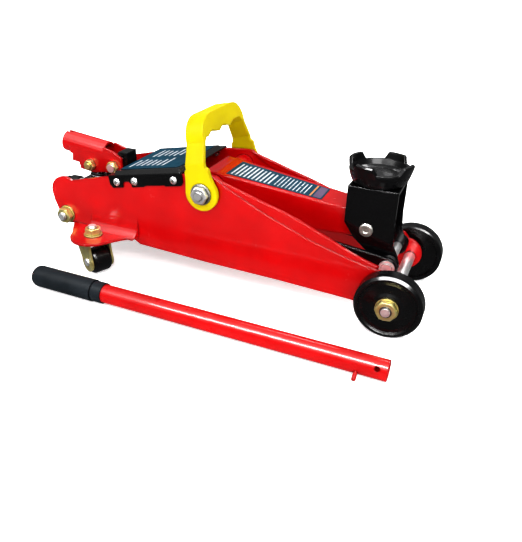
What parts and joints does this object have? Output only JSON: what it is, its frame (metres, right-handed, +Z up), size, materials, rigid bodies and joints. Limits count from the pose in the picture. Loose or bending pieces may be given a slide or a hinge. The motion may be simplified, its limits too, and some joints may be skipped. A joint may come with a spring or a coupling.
{
  "type": "hydraulic floor jack",
  "caption": "Low wheeled hydraulic floor jack with lifting arm, level saddle, pump socket, carrying handle and a loose tubular pump handle beside it.",
  "frame": {"origin": "middle of the whole object's footprint, on the floor the wheels stand on", "axes": "+X towards the saddle and the front wheels, +Y to the jack's left side, +Z up"},
  "size_m": [0.4704, 0.254, 0.1889],
  "materials": {
    "red_paint": "gloss",
    "black_paint": "gloss",
    "black_casting": "satin",
    "zinc": "satin",
    "yellow_zinc": "satin",
    "ground_steel": "polished",
    "dark_steel": "satin",
    "yellow_plastic": "gloss",
    "black_nylon": "gloss",
    "label": "satin",
    "grip_rubber": "matte"
  },
  "bodies": {
    "frame": {"side_plate_left": "red_paint", "side_plate_right": "red_paint", "front_axle": "zinc", "front_axle_washers": "zinc", "front_axle_nuts": "yellow_zinc", "main_shaft": "zinc", "main_shaft_spacers": "red_paint", "main_shaft_washers": "zinc", "main_shaft_nuts": "zinc", "link_studs": "zinc", "rear_mount_studs": "zinc", "rear_mount_nuts": "yellow_zinc", "pump_body": "black_casting", "reservoir": "black_paint", "ram_cylinder": "zinc", "gland_nut": "black_casting", "filler_plug": "black_casting", "relief_screw": "zinc", "spring_anchors": "zinc", "return_springs": "dark_steel", "pump_spring": "dark_steel", "cover_plate": "black_paint", "cover_label": "label", "cover_screws": "zinc", "caster_stems": "zinc", "caster_stem_nuts": "yellow_zinc", "socket_pivot_pin": "zinc", "socket_pivot_nuts": "yellow_zinc"},
    "lift_arm": {"lift_arm": "red_paint", "arm_label": "label", "ram_pin": "zinc"},
    "saddle_bracket": {"saddle_bracket": "black_paint", "saddle_hinge_pin": "zinc", "link_cross_pin": "zinc", "link_pin_clips": "zinc"},
    "saddle": {"saddle": "black_casting", "saddle_clip": "zinc"},
    "link_bars": {"link_bar_left": "black_paint", "link_bar_right": "black_paint"},
    "ram": {"piston_rod": "ground_steel", "piston": "dark_steel", "ram_yoke": "dark_steel"},
    "socket": {"handle_socket": "red_paint", "pump_roller": "yellow_zinc", "roller_bolt": "yellow_zinc"},
    "plunger": {"pump_plunger": "ground_steel"},
    "release_valve": {"release_spindle": "zinc", "release_joint": "black_casting"},
    "carry_handle": {"carry_handle": "yellow_plastic"},
    "front_wheel_left": {"front_wheel_left": "black_nylon"},
    "front_wheel_right": {"front_wheel_right": "black_nylon"},
    "caster_left": {"caster_fork_left": "yellow_zinc", "caster_axle_left": "zinc"},
    "caster_right": {"caster_fork_right": "yellow_zinc", "caster_axle_right": "zinc"},
    "caster_roller_left": {"caster_roller_left": "black_nylon"},
    "caster_roller_right": {"caster_roller_right": "black_nylon"},
    "pump_handle": {"handle_tube": "red_paint", "handle_grip": "grip_rubber", "handle_pin": "red_paint"}
  },
  "joints": [
    {"name": "arm_lift", "type": "hinge", "parent": "frame", "child": "lift_arm", "pos_m": [-0.00425, 0.02603, 0.1114], "axis": [0, -1, 0], "range_deg": [0, 70]},
    {"name": "bracket_level", "type": "hinge", "parent": "lift_arm", "child": "saddle_bracket", "pos_m": [0.16373, 0.02603, 0.08949], "axis": [0, -1, 0], "range_deg": [-70, 0]},
    {"name": "saddle_swivel", "type": "hinge", "parent": "saddle_bracket", "child": "saddle", "pos_m": [0.16575, 0.02603, 0.133], "axis": [0, 0, 1], "continuous": true},
    {"name": "link_swing", "type": "hinge", "parent": "frame", "child": "link_bars", "pos_m": [0.02235, 0.02603, 0.079], "axis": [0, -1, 0], "range_deg": [0, 70]},
    {"name": "ram_extend", "type": "slide", "parent": "frame", "child": "ram", "axis": [1, 0, 0], "range_m": [0, 0.0436], "deforming": ["return_springs"]},
    {"name": "socket_pump", "type": "hinge", "parent": "frame", "child": "socket", "pos_m": [-0.14775, 0.02603, 0.1061], "axis": [0, 1, 0], "range_deg": [0, 50]},
    {"name": "plunger_stroke", "type": "slide", "parent": "frame", "child": "plunger", "axis": [0.2588, 0, 0.9659], "range_m": [0, 0.0276], "deforming": ["pump_spring"]},
    {"name": "release_turn", "type": "hinge", "parent": "frame", "child": "release_valve", "pos_m": [-0.22225, 0.02603, 0.072], "axis": [1, 0, 0], "range_deg": [0, 270]},
    {"name": "carry_handle_tilt", "type": "hinge", "parent": "frame", "child": "carry_handle", "pos_m": [-0.00425, 0.02603, 0.1114], "axis": [0, -1, 0], "range_deg": [-64, 12]},
    {"name": "front_wheel_left_spin", "type": "hinge", "parent": "frame", "child": "front_wheel_left", "pos_m": [0.20175, 0.09003, 0.0335], "axis": [0, 1, 0], "continuous": true},
    {"name": "front_wheel_right_spin", "type": "hinge", "parent": "frame", "child": "front_wheel_right", "pos_m": [0.20175, -0.03797, 0.0335], "axis": [0, 1, 0], "continuous": true},
    {"name": "caster_left_swivel", "type": "hinge", "parent": "frame", "child": "caster_left", "pos_m": [-0.13925, 0.10103, 0.04], "axis": [0, 0, 1], "continuous": true},
    {"name": "caster_left_roll", "type": "hinge", "parent": "caster_left", "child": "caster_roller_left", "pos_m": [-0.13377, 0.09859, 0.015], "axis": [0.4067, 0.9135, 0], "continuous": true},
    {"name": "caster_right_swivel", "type": "hinge", "parent": "frame", "child": "caster_right", "pos_m": [-0.13925, -0.04897, 0.04], "axis": [0, 0, 1], "continuous": true},
    {"name": "caster_right_roll", "type": "hinge", "parent": "caster_right", "child": "caster_roller_right", "pos_m": [-0.13377, -0.05141, 0.015], "axis": [0.4067, 0.9135, 0], "continuous": true},
    {"name": "pump_handle_lift_off", "type": "slide", "parent": "frame", "child": "pump_handle", "axis": [0, 0, 1], "range_m": [0, 0.3]}
  ],
  "couplings": [
    {"joint": "bracket_level", "follows": "arm_lift", "ratio": -1},
    {"joint": "link_swing", "follows": "arm_lift", "ratio": 1},
    {"joint": "ram_extend", "follows": "arm_lift", "m_per_rad": 0.03568},
    {"joint": "plunger_stroke", "follows": "socket_pump", "m_per_rad": 0.031513}
  ]
}
